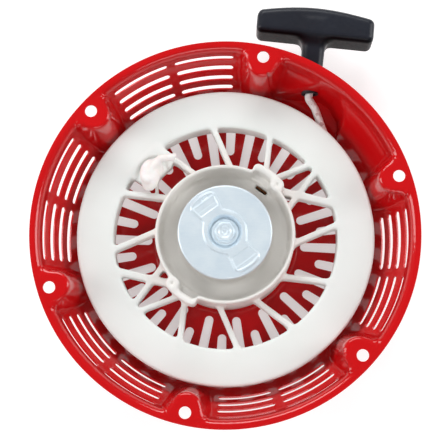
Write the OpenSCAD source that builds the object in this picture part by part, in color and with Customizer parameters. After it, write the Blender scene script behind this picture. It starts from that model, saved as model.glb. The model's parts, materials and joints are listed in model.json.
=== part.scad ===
// Recoil starter for a small engine: pressed steel housing, rope reel, return
// spring, ratchets under a guide plate, rope and pull grip.
// Units mm. +Z is the mounting side (towards the engine), +X to the right and
// +Y towards the pull grip. Origin: centre of the bolt circle, on the seat face.

/* [View] */
// Node to draw, or all
// Facets on a full circle
$fn = 96; // [48:8:160]

/* [Housing] */
// Outer radius of the seat rim
flange_r = 110; // [109:0.5:111]
// Sheet thickness of the housing
sheet = 1.2; // [1:0.1:1.5]
// Radius of the bolt circle
bolt_r = 103; // [102.5:0.25:103.5]
// Radius of each bolt hole
bolt_hole_r = 3.4; // [3:0.1:4]
// Angle of the first bolt hole from +X
bolt_a0 = 17.7; // [15:0.1:20]
// Depth from the seat face to the inside of the closed face
face_z = 53; // [52.5:0.5:56]
// Width of the wall vents along the slope
vent_w = 3.9; // [2.5:0.1:4.5]
// Number of long radial vents in the closed face
ray_n = 18; // [12:1:18]

/* [Reel] */
// Outer radius of the reel
reel_r = 86; // [85:0.25:86.5]
// Inner radius of the reel's rim
rim_r = 64.5; // [64:0.1:64.7]
// Depth of the reel's front face below the seat face
reel_z = 22; // [21.5:0.1:22]
// Outer radius of the reel's hub
hub_r = 40; // [39.9:0.1:40.3]
// Depth of the hub's top edge below the seat face
hub_z = 9; // [8:0.5:12]
// Thickness of the leaning spokes
spoke_t = 3.2; // [2.4:0.1:3.6]

/* [Guide plate and ratchets] */
// Outer radius of the guide plate
plate_r = 26.7; // [26.5:0.1:27]
// Direction of the raised bow on the guide plate
bow_a = 126; // [120:1:132]
// Swing of the ratchets at full lift
swing = 25; // [25:1:25]
// Turn of the guide plate that lifts the ratchets
guide_turn = 20; // [20:1:20]

/* [Rope and grip] */
// Radius of the rope
rope_r = 2.3; // [2:0.05:2.3]
// Radius of the post the reel turns on
post_r = 8; // [7.98:0.01:8.02]
// Width of the grip's bar
grip_w = 69; // [60:1:74]
// Depth of the grip's bar
grip_d = 24; // [20:1:24]
// Lean of the pull direction from +Y towards +X
lean = 5.3; // [4:0.1:6]

/* [Hidden] */
// cone of the side wall: radius at a height
function cone_r(z) = 103.2 + (z + 11.4) * 0.4747;
// inside of the sheet, from the seat rim to the flat of the closed face
inside = [[flange_r, 0], [106.6, 0], [105.5, -0.35], [104.7, -1.2], [104.35, -2.6],
          [104.1, -5.5], [103.7, -8.6], [103, -11.8], [cone_r(-15), -15], [cone_r(-42.5), -42.5],
          [87.1, -45.4], [85.2, -48.3], [82.6, -50.7], [79.6, -52.3], [76, -face_z]];
// rope hole in the pocket's end wall
hole = [49.6, 85.6];
rope_z = -27.6;
wrap_r = 74.5;
hole_d = norm(hole);
tan_a = atan2(hole[1], hole[0]) - acos(wrap_r / hole_d);
tan_p = [wrap_r * cos(tan_a), wrap_r * sin(tan_a)];
pull = [sin(lean), cos(lean)];
ratchet_a = 20;
piv = 17.5;

// ---------- helpers ----------
module ring(ro, ri, z0, z1) {
  translate([0, 0, z0]) difference() {
    cylinder(r = ro, h = z1 - z0);
    translate([0, 0, -1]) cylinder(r = ri, h = z1 - z0 + 2);
  }
}
// flat sector of a ring, as points
function arc(r, a0, a1, n) = [for (i = [0:n]) let (a = a0 + (a1 - a0) * i / n) [r * cos(a), r * sin(a)]];
module sector(ro, ri, a0, a1, z0, z1, n = 10) {
  translate([0, 0, z0]) linear_extrude(height = z1 - z0)
    polygon(concat(arc(ro, a0, a1, n), arc(ri, a1, a0, n)));
}
// bar between two points in plan
module bar(p, q, t, z0, z1) {
  d = q - p;
  translate([p[0], p[1], z0]) rotate([0, 0, atan2(d[1], d[0])])
    translate([0, -t / 2, 0]) cube([norm(d), t, z1 - z0]);
}
function pol(r, a) = [r * cos(a), r * sin(a)];
function unit(v) = v / norm(v);
// tube swept along points, closed at both ends
module tube(pts, r, sides = 8) {
  n = len(pts);
  function tang(i) = unit(pts[min(i + 1, n - 1)] - pts[max(i - 1, 0)]);
  function side(i) = let (t = tang(i), u = abs(t[2]) > 0.9 ? [1, 0, 0] : [0, 0, 1]) unit(cross(t, u));
  v = [for (i = [0:n - 1]) let (t = tang(i), a = side(i), b = cross(a, t))
       for (k = [0:sides - 1]) pts[i] + r * (cos(360 * k / sides) * a + sin(360 * k / sides) * b)];
  polyhedron(points = v, convexity = 10, faces = concat(
    [[for (k = [sides - 1:-1:0]) k]],
    [for (i = [0:n - 2]) for (k = [0:sides - 1])
      [i * sides + k, i * sides + (k + 1) % sides, (i + 1) * sides + (k + 1) % sides, (i + 1) * sides + k]],
    [[for (k = [0:sides - 1]) (n - 1) * sides + k]]));
}
// closed loop tube along an overhand knot
module knot(big, small, r, n = 48, sides = 8) {
  function p(a) = [(big + small * cos(3 * a)) * cos(2 * a), (big + small * cos(3 * a)) * sin(2 * a), small * sin(3 * a)];
  function tang(i) = unit(p(360 * (i + 0.5) / n) - p(360 * (i - 0.5) / n));
  function side(i) = let (a = 360 * i / n, c = [big * cos(2 * a), big * sin(2 * a), 0]) unit(cross(tang(i), p(a) - c));
  v = [for (i = [0:n - 1]) let (a = side(i), b = cross(a, tang(i)))
       for (k = [0:sides - 1]) p(360 * i / n) + r * (cos(360 * k / sides) * a + sin(360 * k / sides) * b)];
  polyhedron(points = v, convexity = 10, faces =
    [for (i = [0:n - 1]) for (k = [0:sides - 1])
      [i * sides + k, i * sides + (k + 1) % sides, ((i + 1) % n) * sides + (k + 1) % sides, ((i + 1) % n) * sides + k]]);
}
function coil(r, z0, z1, turns, per) = [for (i = [0:turns * per]) let (a = 360 * i / per)
  [r * cos(a), r * sin(a), z0 + (z1 - z0) * i / (turns * per)]];

// ---------- housing ----------
// outline of one bolt lobe, its bolt hole on +X
module lobe(g = 0) {
  translate([99.8, 0]) circle(r = 8.5 - g);
  polygon([[107.5, -17 + g], [104, -14.5 + g], [101.6, -10.6 + g], [99.8, -8.5 + g],
           [99.8, 8.5 - g], [101.6, 10.6 - g], [104, 14.5 - g], [107.5, 17 - g]]);
}
// rope pocket in plan
module pocket(g = 0) {
  polygon([[37 - g, 70], [37 - g, 86 + g], [61 + 0.7 * g, 86 + g], [66 + g, 78 + 0.5 * g], [69.5 + g, 71 + 0.3 * g], [69 + g, 62], [60, 56]]);
}
module housing() {
  color([0.80, 0.05, 0.07]) difference() {
    union() {
      difference() {
        // pressed bowl: one sheet, with a plateau at its centre
        rotate_extrude() polygon(concat(inside,
          [[42, -face_z], [39, -50], [6.1, -50], [6.1, -50 - sheet], [38.6, -50 - sheet], [41.6, -face_z - sheet]],
          [[76.1, -face_z - sheet], [80, -face_z + 0.7 - sheet], [83.3, -51.9], [86.2, -49.3], [88.3, -46], [cone_r(-42.5) + 1.3, -43],
           [cone_r(-15) + 1.3, -15.5], [104.3, -12], [104.95, -8.8], [105.35, -5.5], [105.6, -2.9], [106, -1.9], [106.9, -sheet], [flange_r, -sheet]]));
        // the sheet is pressed inwards at the lobes and outwards at the pocket
        for (i = [0:5]) rotate([0, 0, bolt_a0 + 60 * i]) translate([0, 0, -46]) linear_extrude(height = 46 - sheet) lobe(sheet);
        translate([0, 0, -36.8]) linear_extrude(height = 36.8 + 1) pocket(0);
      }
      intersection() {
        for (i = [0:5]) rotate([0, 0, bolt_a0 + 60 * i]) difference() {
          translate([0, 0, -46]) linear_extrude(height = 46) lobe(0);
          translate([0, 0, -47]) linear_extrude(height = 47 - sheet) lobe(sheet);
        }
        rotate_extrude() polygon([[20, 0], [109, 0], [106.9, -sheet], [106, -1.9], [105.6, -2.9], [105.35, -5.5], [104.95, -8.8], [104.3, -12],
          [cone_r(-15) + 1.3, -15.5], [cone_r(-42.5) + 1.3, -43], [20, -43]]);
      }
      // pocket for the rope outlet
      difference() {
        translate([0, 0, -38]) linear_extrude(height = 37.5) pocket(sheet);
        translate([0, 0, -36.8]) linear_extrude(height = 40) pocket(0);
        // keep only what stands outside the bowl
        rotate_extrude() polygon([[0, 1], [104.7, 1], [104.7, -1.2], [104.35, -2.6], [104.1, -5.5], [103.7, -8.6], [103, -11.8],
          [cone_r(-15), -15], [cone_r(-40), -40], [0, -40]]);
      }
    }
    // bolt holes
    for (i = [0:5]) rotate([0, 0, bolt_a0 + 60 * i]) translate([bolt_r, 0, -10]) cylinder(r = bolt_hole_r, h = 12, $fn = 48);
    // wall vents: four rows, two columns, in five of the six sectors
    for (row = [0:3]) let (z = -11.4 - 7.9 * row, r = cone_r(z), c = cos(25.4), s = sin(25.4), h = vent_w / 2)
      intersection() {
        rotate_extrude() polygon([[r + s * h - 3 * c, z + c * h + 3 * s], [r + s * h + 4 * c, z + c * h - 4 * s],
                                  [r - s * h + 4 * c, z - c * h - 4 * s], [r - s * h - 3 * c, z - c * h + 3 * s]]);
        union() for (i = [1:5]) for (m = [-1, 1]) rotate([0, 0, bolt_a0 + 30 + 60 * i])
          sector(125, 60, m * 1.3, m * 20.4, -45, 5, 4);
      }
    // radial vents in the closed face
    for (i = [0:ray_n - 1]) rotate([0, 0, 17.5 + 360 / ray_n * i]) translate([0, 0, -face_z - 3]) linear_extrude(height = 5) {
      translate([46.8, 0]) circle(r = 2.55, $fn = 24);
      polygon([[46.8, -2.55], [70.2, -2.95], [70.2, 2.95], [46.8, 2.55]]);
      translate([70.2, 0]) circle(r = 2.95, $fn = 24);
    }
    for (i = [0:ray_n - 1]) rotate([0, 0, 17.5 + 180 / ray_n + 360 / ray_n * i]) translate([0, 0, -face_z - 3]) linear_extrude(height = 5) {
      translate([56.7, 0]) circle(r = 2.55, $fn = 24);
      polygon([[56.7, -2.55], [70.4, -2.9], [70.4, 2.9], [56.7, 2.55]]);
      translate([70.4, 0]) circle(r = 2.9, $fn = 24);
    }
    // rope outlet
    translate([hole[0], 80, rope_z]) rotate([-90, 0, 0]) cylinder(r = 5.05, h = 12, $fn = 48);
    translate([hole[0], 87.22, rope_z]) rotate([-90, 0, 0]) cylinder(r = 6.8, h = 4, $fn = 48);
  }
}
// eyelet clinched in the outlet
module rope_guide() {
  color([0.16, 0.16, 0.18]) translate([hole[0], 86, rope_z]) rotate([-90, 0, 0]) difference() {
    union() {
      translate([0, 0, -1.2]) cylinder(r = 5, h = 3.4, $fn = 48);
      translate([0, 0, -1.2]) cylinder(r = 6.4, h = 1.15, $fn = 48);
      translate([0, 0, 1.25]) cylinder(r = 6.4, h = 1, $fn = 48);
    }
    translate([0, 0, -2]) cylinder(r = 3.5, h = 6, $fn = 48);
  }
}
module centre_post() {
  color([0.62, 0.63, 0.65]) difference() {
    union() {
      translate([0, 0, -53]) cylinder(r = 9.5, h = 1.75);
      translate([0, 0, -52]) cylinder(r = 6, h = 4);
      translate([0, 0, -49.95]) cylinder(r = 15, h = 1.6);
      translate([0, 0, -49]) cylinder(r = 11, h = 14);
      translate([0, 0, -36]) cylinder(r = post_r, h = 24.9);
      translate([0, 0, -12]) cylinder(r = 5.6, h = 5.85);
    }
    translate([0, 0, -30]) cylinder(r = 3, h = 30, $fn = 48);
    // slot that holds the spring's inner end
    rotate([0, 0, 234]) translate([7.4, -0.8, -48.2]) cube([6, 1.6, 14]);
  }
}
module thrust_washer() {
  color([0.70, 0.71, 0.73]) ring(12.8, post_r + 0.1, -34.95, -34.1);
}
module centre_screw() {
  color([0.72, 0.75, 0.78]) difference() {
    union() {
      translate([0, 0, -28]) cylinder(r = 2.95, h = 24, $fn = 48);
      translate([0, 0, -4.6]) cylinder(r = 7.6, h = 1.4);
      translate([0, 0, -3.3]) cylinder(r = 5.77, h = 2.5, $fn = 6);
    }
    translate([0, 0, -1.5]) cylinder(r = 3.6, h = 2, $fn = 48);
  }
}

// ---------- reel ----------
// outside of the hub, with the pockets and bosses that stand out of it
module hub_block(g = 0) {
  translate([0, 0, -49.4]) cylinder(r = hub_r + g, h = 49.4 - hub_z + g);
  for (h = [0, 180]) rotate([0, 0, h]) {
    sector(45 + g, 38.6, 45 - g, 67 + g, -24.5 - g, -hub_z + g, 8);
    translate(concat(pol(41, 43.4), [-24.5 - g])) cylinder(r = 3.8 + g, h = 24.5 - hub_z + 2 * g, $fn = 48);
  }
}
// rim and spokes; the hub is moulded in one piece with them and has its own node
module reel() {
  color([0.90, 0.89, 0.87]) difference() {
    union() {
      // rim with the rope groove
      rotate_extrude() polygon([[rim_r, -38], [reel_r - 0.6, -38], [reel_r, -37.4], [reel_r, -36.1], [reel_r - 0.6, -35.5], [66.2, -35.5], [66.2, -25],
        [reel_r - 0.6, -25], [reel_r, -24.4], [reel_r, -reel_z - 0.8], [reel_r - 0.8, -reel_z], [rim_r, -reel_z]]);
      for (h = [0, 180]) rotate([0, 0, h]) {
        bar(pol(40, 16.5 + 27), pol(rim_r + 1.4, 17.5), spoke_t + 0.8, -33, -reel_z);
        bar(pol(39, 55.5), pol(rim_r + 1.4, 40.6), spoke_t - 0.4, -33, -reel_z);
      }
      for (i = [0:11]) bar(pol(hub_r - 1.2, -6.2 + 30 * i), pol(rim_r + 1, 6.4 + 30 * i), spoke_t, -33, -reel_z);
      // web that carries the rope's knot
      sector(rim_r + 1, 52.2, 126, 146.5, -33, -reel_z - 0.4, 8);
    }
    hub_block(0.01);
    // the rope comes up through the web to its knot
    translate([-40, 42.4, -28]) cylinder(r = 2.8, h = 8, $fn = 32);
    // drum hole for the rope's inner end
    translate([0, 0, rope_z]) rotate([0, 0, 0]) translate(concat(pol(60, 134.5), [0]))
      rotate([0, 90, atan2(pol(68.5, 144)[1] - pol(60, 134.5)[1], pol(68.5, 144)[0] - pol(60, 134.5)[0])]) translate([0, 0, -1]) cylinder(r = 2.75, h = 15, $fn = 32);
  }
}
module reel_hub() {
  w = hub_r - 2.2;
  color([0.90, 0.89, 0.87]) difference() {
    union() {
      // cup for the engine's starter pulley above, spring chamber below
      rotate_extrude() polygon([[hub_r, -hub_z - 0.4], [hub_r, -49.4], [36.6, -49.4], [36.6, -33], [25, -33], [22.8, -30], [22.8, -18],
        [13, -18], [13, -34], [10.2, -34], [10.2, -12], [25.5, -12], [25.5, -28.5], [27, -30], [35.4, -30], [37, -28.4],
        [w, -hub_z - 0.5], [w + 0.5, -hub_z], [hub_r - 0.4, -hub_z]]);
      // wall around the ratchets
      ring(25.45, 22.4, -12.5, -5.6);
      for (h = [0, 180]) rotate([0, 0, h]) {
        // pocket that bulges out of the hub, and the boss beside it
        sector(45, 38.6, 45, 67, -24.5, -hub_z, 8);
        translate(concat(pol(41, 43.4), [-24.5])) cylinder(r = 3.8, h = 24.5 - hub_z, $fn = 48);
      }
    }
    for (h = [0, 180]) rotate([0, 0, h]) {
      sector(43.1, 34, 48, 65.5, -22.8, 0, 8);
      translate(concat(pol(41, 43.4), [-hub_z - 4])) cylinder(r = 0.9, h = 10, $fn = 24);
    }
    // slot for the spring's outer end
    rotate([0, 0, 54]) translate([34.7, -4.2, -34]) cube([1.75, 8.4, 6]);
    // ratchet pins, their spring seats and the ratchets' windows
    for (h = [0, 180]) rotate([0, 0, h + ratchet_a]) {
      translate([piv, 0, -20]) cylinder(r = 2.52, h = 10, $fn = 48);
      translate([piv, 0, -15.2]) cylinder(r = 5, h = 4, $fn = 48);
      translate([piv, 0, -11.95]) linear_extrude(height = 8) for (k = [0:5]) rotate([0, 0, -swing * k / 5]) blade_arm(0.5);
      translate([piv, 0, -11.95]) cylinder(r = 5.6, h = 8, $fn = 48);
    }
  }
}
module reel_bush() {
  color([0.72, 0.50, 0.24]) ring(10.17, post_r + 0.05, -34, -12.1);
}
// flat coil spring, wound from the post's slot to the reel's slot
turns = 8.5;
function sp_r(a) = 11.9 + (35.5 - 11.9) * a / (360 * turns);
module main_spring() {
  n = 204;
  t = 0.4;
  color([0.48, 0.30, 0.20]) {
    rotate([0, 0, 54 - 360 * turns + 0]) translate([0, 0, -48]) linear_extrude(height = 13)
      polygon(concat([for (i = [0:n]) let (a = 360 * turns * i / n) pol(sp_r(a) + t, a)],
                     [for (i = [n:-1:0]) let (a = 360 * turns * i / n) pol(sp_r(a) - t, a)]));
    rotate([0, 0, 54 - 360 * turns]) translate([8, -0.4, -48]) cube([3.9, 0.8, 13]);
    rotate([0, 0, 54]) translate([35.1, -3.6, -36]) cube([0.85, 3.7, 5.4]);
    rotate([0, 0, 54]) translate([35.1, -3.6, -31.4]) cube([0.85, 7.2, 0.9]);
  }
}

// ---------- guide plate and ratchets ----------
// raised bow of the plate, in plan
module bow(g = 0) {
  circle(r = 12 - g);
  for (h = [0, 180]) rotate([0, 0, bow_a + h]) polygon([[4, -9 + g], [10.5, -6.4 + g], [21, -8.3 + g], [23.6 - g, -6 + g],
    [24.4 - g, 0], [23.6 - g, 6 - g], [21, 8.3 - g], [10.5, 6.4 - g], [4, 9 - g]]);
}
module leg(g = 0) {
  translate(pol(18, 35.7)) circle(r = 1.5 + g, $fn = 32);
}
module guide_plate() {
  color([0.76, 0.81, 0.86]) {
    difference() {
      union() {
        rotate_extrude() polygon([[4.3, -6], [10.4, -6], [10.4, -3.2], [25.6, -3.2], [25.6, -5.2], [plate_r, -5.2], [plate_r, -2.6],
          [plate_r - 0.6, -2], [9.2, -2], [9.2, -4.8], [4.3, -4.8]]);
        translate([0, 0, -2.5]) linear_extrude(height = 1.3) difference() { bow(0); circle(r = 9.2); }
      }
      translate([0, 0, -4]) linear_extrude(height = 1.6) difference() { bow(1.2); circle(r = 10.4); }
    }
    for (h = [0, 180]) rotate([0, 0, h + ratchet_a]) translate([0, 0, -10.2]) linear_extrude(height = 8.4) leg(0);
  }
}
// ratchet in plan, its pivot at the origin
module blade_arm(g = 0) {
  d = [-7, 22] / norm([7, 22]);
  m = [-d[1], d[0]];
  polygon([for (p = [[0, -3.4 - g], [13, -3.2 - g], [20.8 + g, -2.2 - g], [22.6 + g, 0.8], [21.4 + g, 2.8 + g], [13, 3.2 + g], [0, 3.4 + g]])
    p[0] * d + p[1] * m]);
}
module blade(g = 0) {
  circle(r = 4.6 + g, $fn = 48);
  blade_arm(g);
}
module ratchet() {
  translate([0, 0, -11.8]) linear_extrude(height = 5.4) difference() {
    translate([piv, 0]) blade(0);
    translate([piv, 0]) circle(r = 2.55, $fn = 48);
    // track the plate's leg slides in while it lifts the ratchet
    for (k = [-0.4:0.2:10.4]) translate([piv, 0]) rotate([0, 0, swing * k / 10]) translate([-piv, 0])
      rotate([0, 0, -guide_turn * k / 10]) leg(0.22);
  }
}
module ratchet_right() { color([0.42, 0.43, 0.45]) rotate([0, 0, ratchet_a]) ratchet(); }
module ratchet_left() { color([0.42, 0.43, 0.45]) rotate([0, 0, ratchet_a + 180]) ratchet(); }
module pin() {
  translate([piv, 0, -17.9]) cylinder(r = 2.5, h = 11.6, $fn = 48);
}
module ratchet_pin_right() { color([0.75, 0.76, 0.78]) rotate([0, 0, ratchet_a]) pin(); }
module ratchet_pin_left() { color([0.75, 0.76, 0.78]) rotate([0, 0, ratchet_a + 180]) pin(); }
module pin_spring() {
  translate([piv, 0, 0]) tube(coil(3.5, -14.8, -12.3, 3, 16), 0.3, 6);
}
module ratchet_spring_right() { color([0.55, 0.56, 0.58]) rotate([0, 0, ratchet_a]) pin_spring(); }
module ratchet_spring_left() { color([0.55, 0.56, 0.58]) rotate([0, 0, ratchet_a + 180]) pin_spring(); }
module friction_spring() {
  color([0.55, 0.56, 0.58]) tube(coil(7.4, -10.35, -6.75, 3, 20), 0.55, 8);
}

// ---------- rope ----------
// wound part: radius and height of the rope at ring k, counted back from where it leaves
function on_r(k) = k <= 39 ? wrap_r : (k <= 40 ? wrap_r - 2.45 : wrap_r - 4.9);
function on_z(k) = k <= 18 ? rope_z : (k <= 19 ? rope_z - 2.65 : (k <= 59 ? rope_z - 5.3 : (k <= 60 ? rope_z - 2.65 : rope_z)));
function wound() = [for (k = [80:-1:0]) let (a = tan_a - 360 / 22 * k) concat(pol(on_r(k), a), [on_z(k)])];
module rope_on_reel() {
  a = tan_a - 360 / 22 * 80;
  color([0.91, 0.88, 0.86]) tube(concat(
    [concat(pol(60.5, 135.2), [rope_z + 0.6]), concat(pol(64, 138.8), [rope_z]), concat(pol(68.2, 143.6), [rope_z])],
    wound()), rope_r);
}
module reel_knot() {
  color([0.93, 0.92, 0.90]) {
    translate([-42, 35.6, -17.6]) rotate([0, 0, 12]) knot(5, 2.5, 1.8);
    tube([[-40.5, 40, -17], [-36.5, 43.2, -15.6], [-29.2, 45.2, -15.2]], 1.5);
    tube([[-42.4, 39.8, -18.6], [-40.6, 41.6, -21.8], [-40, 42.4, -26.6]], rope_r);
  }
}
grip_o = [hole[0], 88.3];
module rope_lead() {
  q = hole - tan_p;
  color([0.91, 0.88, 0.86]) tube(concat(
    [for (s = [0.011, 0.12, 0.25, 0.4, 0.55, 0.7, 0.85]) concat(tan_p + q * s, [rope_z])],
    [[hole[0] - 0.9, 83, rope_z], [hole[0] - 0.3, 85.3, rope_z], [hole[0], 87.3, rope_z]],
    [for (s = [4, 14, 24, 33, 37.5]) [grip_o[0] + pull[0] * s, grip_o[1] + pull[1] * s, rope_z]]), rope_r);
}

// ---------- grip ----------
// side view of the grip, pull direction up; origin at the stem's foot
function crown(x) = 43 + 4.5 * cos(90 * x / (grip_w / 2));
module bar_side() {
  h = grip_w / 2;
  polygon(concat(
    [[-h + 2, 29.6], [-h, 31.6], [-h, 41], [-h + 1.2, 42.8]],
    [for (i = [1:15]) let (x = -h + 1.2 + (2 * h - 2.4) * i / 16) [x, crown(x)]],
    [[h - 1.2, 42.8], [h, 41], [h, 30.4], [h - 2, 28.4], [9.5, 29.2], [-9.5, 29.6]]));
}
module in_grip() {
  translate([grip_o[0], grip_o[1], rope_z]) rotate([0, 0, -lean]) rotate([-90, 0, 0]) children();
}
module grip() {
  color([0.10, 0.10, 0.11]) in_grip() difference() {
    union() {
      rotate([90, 0, 0]) translate([0, 0, -grip_d / 2]) linear_extrude(height = grip_d) bar_side();
      translate([0, 0, 1.2]) cylinder(r = 6.5, h = 29);
      translate([0, 0, 27]) cylinder(r1 = 6.5, r2 = 9.5, h = 3.1);
    }
    translate([0, 0, -1]) cylinder(r = 2.9, h = 60, $fn = 48);
    translate([0, 0, 35.5]) cylinder(r = 7.6, h = 20);
  }
}
module grip_washer() {
  color([0.70, 0.71, 0.73]) in_grip() ring(7, 2.8, 35.6, 37);
}
module grip_knot() {
  color([0.93, 0.92, 0.90]) in_grip() translate([0, 0, 40.5]) knot(3.75, 1.85, 1.3);
}

housing();
centre_post();
thrust_washer();
rope_guide();
centre_screw();
reel();
reel_hub();
reel_bush();
main_spring();
guide_plate();
friction_spring();
ratchet_right();
ratchet_left();
ratchet_pin_right();
ratchet_pin_left();
ratchet_spring_right();
ratchet_spring_left();
rope_on_reel();
reel_knot();
rope_lead();
grip();
grip_washer();
grip_knot();
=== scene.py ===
import bpy, json, math
import numpy as np
from mathutils import Vector, Matrix
from mathutils.geometry import delaunay_2d_cdt


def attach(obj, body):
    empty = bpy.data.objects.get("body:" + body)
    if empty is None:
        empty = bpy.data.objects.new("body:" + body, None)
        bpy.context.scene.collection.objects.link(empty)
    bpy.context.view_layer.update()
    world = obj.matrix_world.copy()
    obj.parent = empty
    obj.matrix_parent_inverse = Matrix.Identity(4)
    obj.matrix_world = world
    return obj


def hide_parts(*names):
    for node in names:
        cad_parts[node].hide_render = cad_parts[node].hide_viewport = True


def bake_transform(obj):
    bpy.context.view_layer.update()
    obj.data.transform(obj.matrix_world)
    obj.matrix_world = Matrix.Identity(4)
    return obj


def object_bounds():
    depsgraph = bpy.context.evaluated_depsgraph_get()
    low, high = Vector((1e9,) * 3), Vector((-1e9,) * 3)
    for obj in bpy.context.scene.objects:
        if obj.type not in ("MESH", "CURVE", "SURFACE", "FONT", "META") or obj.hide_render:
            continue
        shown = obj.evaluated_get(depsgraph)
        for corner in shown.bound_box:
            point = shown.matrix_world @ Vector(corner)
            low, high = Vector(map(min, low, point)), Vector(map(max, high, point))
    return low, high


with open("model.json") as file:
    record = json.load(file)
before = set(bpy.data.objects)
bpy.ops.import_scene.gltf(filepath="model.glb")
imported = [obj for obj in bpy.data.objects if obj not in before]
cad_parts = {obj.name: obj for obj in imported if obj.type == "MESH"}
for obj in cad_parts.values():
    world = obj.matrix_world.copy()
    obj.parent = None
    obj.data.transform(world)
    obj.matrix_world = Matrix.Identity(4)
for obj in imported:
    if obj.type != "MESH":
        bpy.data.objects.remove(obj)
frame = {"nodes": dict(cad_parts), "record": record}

cad_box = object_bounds()
MM = 0.001
rad, deg = math.radians, math.degrees
scene = bpy.context.scene


# ------------------------------------------------------------------ mesh help
def link(name, verts, faces, body, mat, sharp=38.0, replaces=(), mats=None, fmat=None):
    me = bpy.data.meshes.new(name)
    me.from_pydata([tuple(v) for v in np.asarray(verts) * MM], [], [tuple(int(i) for i in f) for f in faces])
    me.validate()
    me.update()
    for m in (mats or [mat]):
        me.materials.append(m)
    if fmat is not None and len(fmat) == len(me.polygons):
        me.polygons.foreach_set("material_index", np.asarray(fmat, np.int32))
    me.polygons.foreach_set("use_smooth", np.ones(len(me.polygons), bool))
    if sharp:
        me.set_sharp_from_angle(angle=rad(sharp))
    ob = bpy.data.objects.new(name, me)
    scene.collection.objects.link(ob)
    if body:
        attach(ob, body)
    if replaces:
        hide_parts(*replaces)
    return ob


def apply_mods(ob):
    bpy.context.view_layer.update()
    dg = bpy.context.evaluated_depsgraph_get()
    me = bpy.data.meshes.new_from_object(ob.evaluated_get(dg))
    ob.modifiers.clear()
    ob.data = me
    return ob


def pol(r, a):
    return np.array([r * math.cos(rad(a)), r * math.sin(rad(a))])


# ------------------------------------------------------------------ distance fields
def seg2(x, y, p, q):
    p, q = np.asarray(p, float), np.asarray(q, float)
    d = q - p
    t = np.clip(((x - p[0]) * d[0] + (y - p[1]) * d[1]) / (d @ d), 0, 1)
    return np.hypot(x - p[0] - t * d[0], y - p[1] - t * d[1])


def poly2(x, y, pts):
    """signed distance to a closed polygon"""
    pts = np.asarray(pts, float)
    n = len(pts)
    best = np.full(np.shape(x), 1e9, np.float32)
    inside = np.zeros(np.shape(x), bool)
    for i in range(n):
        a, b = pts[i], pts[(i + 1) % n]
        best = np.minimum(best, seg2(x, y, a, b))
        if a[1] != b[1]:
            c = (a[1] > y) != (b[1] > y)
            xi = a[0] + (y - a[1]) * (b[0] - a[0]) / (b[1] - a[1])
            inside ^= c & (x < xi)
    return np.where(inside, -best, best)


def smin(a, b, k):
    h = np.clip(k - np.abs(a - b), 0, None) / k
    return np.minimum(a, b) - h * h * k * 0.25


def smax(a, b, k):
    return -smin(-a, -b, k)


def slab(d2, z, z0, z1, r=0.0):
    """extrude a flat distance field from z0 to z1, edges rounded by r"""
    w = np.abs(z - (z0 + z1) / 2) - (z1 - z0) / 2 + r
    d = d2 + r
    return np.minimum(np.maximum(d, w), 0) + np.hypot(np.maximum(d, 0), np.maximum(w, 0)) - r


class Field:
    def __init__(self, lo, hi, h):
        self.h = h
        self.lo = np.asarray(lo, float) - 3 * h
        n = np.ceil((np.asarray(hi, float) + 3 * h - self.lo) / h).astype(int) + 1
        self.x, self.y, self.z = (self.lo[i] + h * np.arange(n[i]) for i in range(3))
        self.X = self.x[:, None, None].astype(np.float32)
        self.Y = self.y[None, :, None].astype(np.float32)
        self.Z = self.z[None, None, :].astype(np.float32)
        self.X2, self.Y2 = np.meshgrid(self.x, self.y, indexing="ij")
        self.R2 = np.hypot(self.X2, self.Y2)
        self.A2 = np.degrees(np.arctan2(self.Y2, self.X2))

    def turn(self, pts, res=0.2):
        """distance to a solid of revolution given by its (r, z) outline"""
        r = np.arange(0, self.R2.max() + 2 * res, res)
        rr, zz = np.meshgrid(r, self.z, indexing="ij")
        t = poly2(rr, zz, pts).astype(np.float32)
        i = np.clip((self.R2 / res), 0, len(r) - 1.001)
        j = i.astype(int)
        f = (i - j).astype(np.float32)[:, :, None]
        return t[j] * (1 - f) + t[j + 1] * f

    def flat(self, d2):
        return d2.astype(np.float32)[:, :, None]


def blur(F, n, clip=4.0):
    F = np.clip(F, -clip, clip)
    for _ in range(n):
        for ax in range(3):
            G = F * 0.5
            a = [slice(None)] * 3
            b = [slice(None)] * 3
            a[ax], b[ax] = slice(1, None), slice(None, -1)
            G[tuple(a)] += F[tuple(b)] * 0.25
            G[tuple(b)] += F[tuple(a)] * 0.25
            for e in (0, -1):
                c = [slice(None)] * 3
                c[ax] = e
                G[tuple(c)] = F[tuple(c)]
            F = G
    return F


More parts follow.
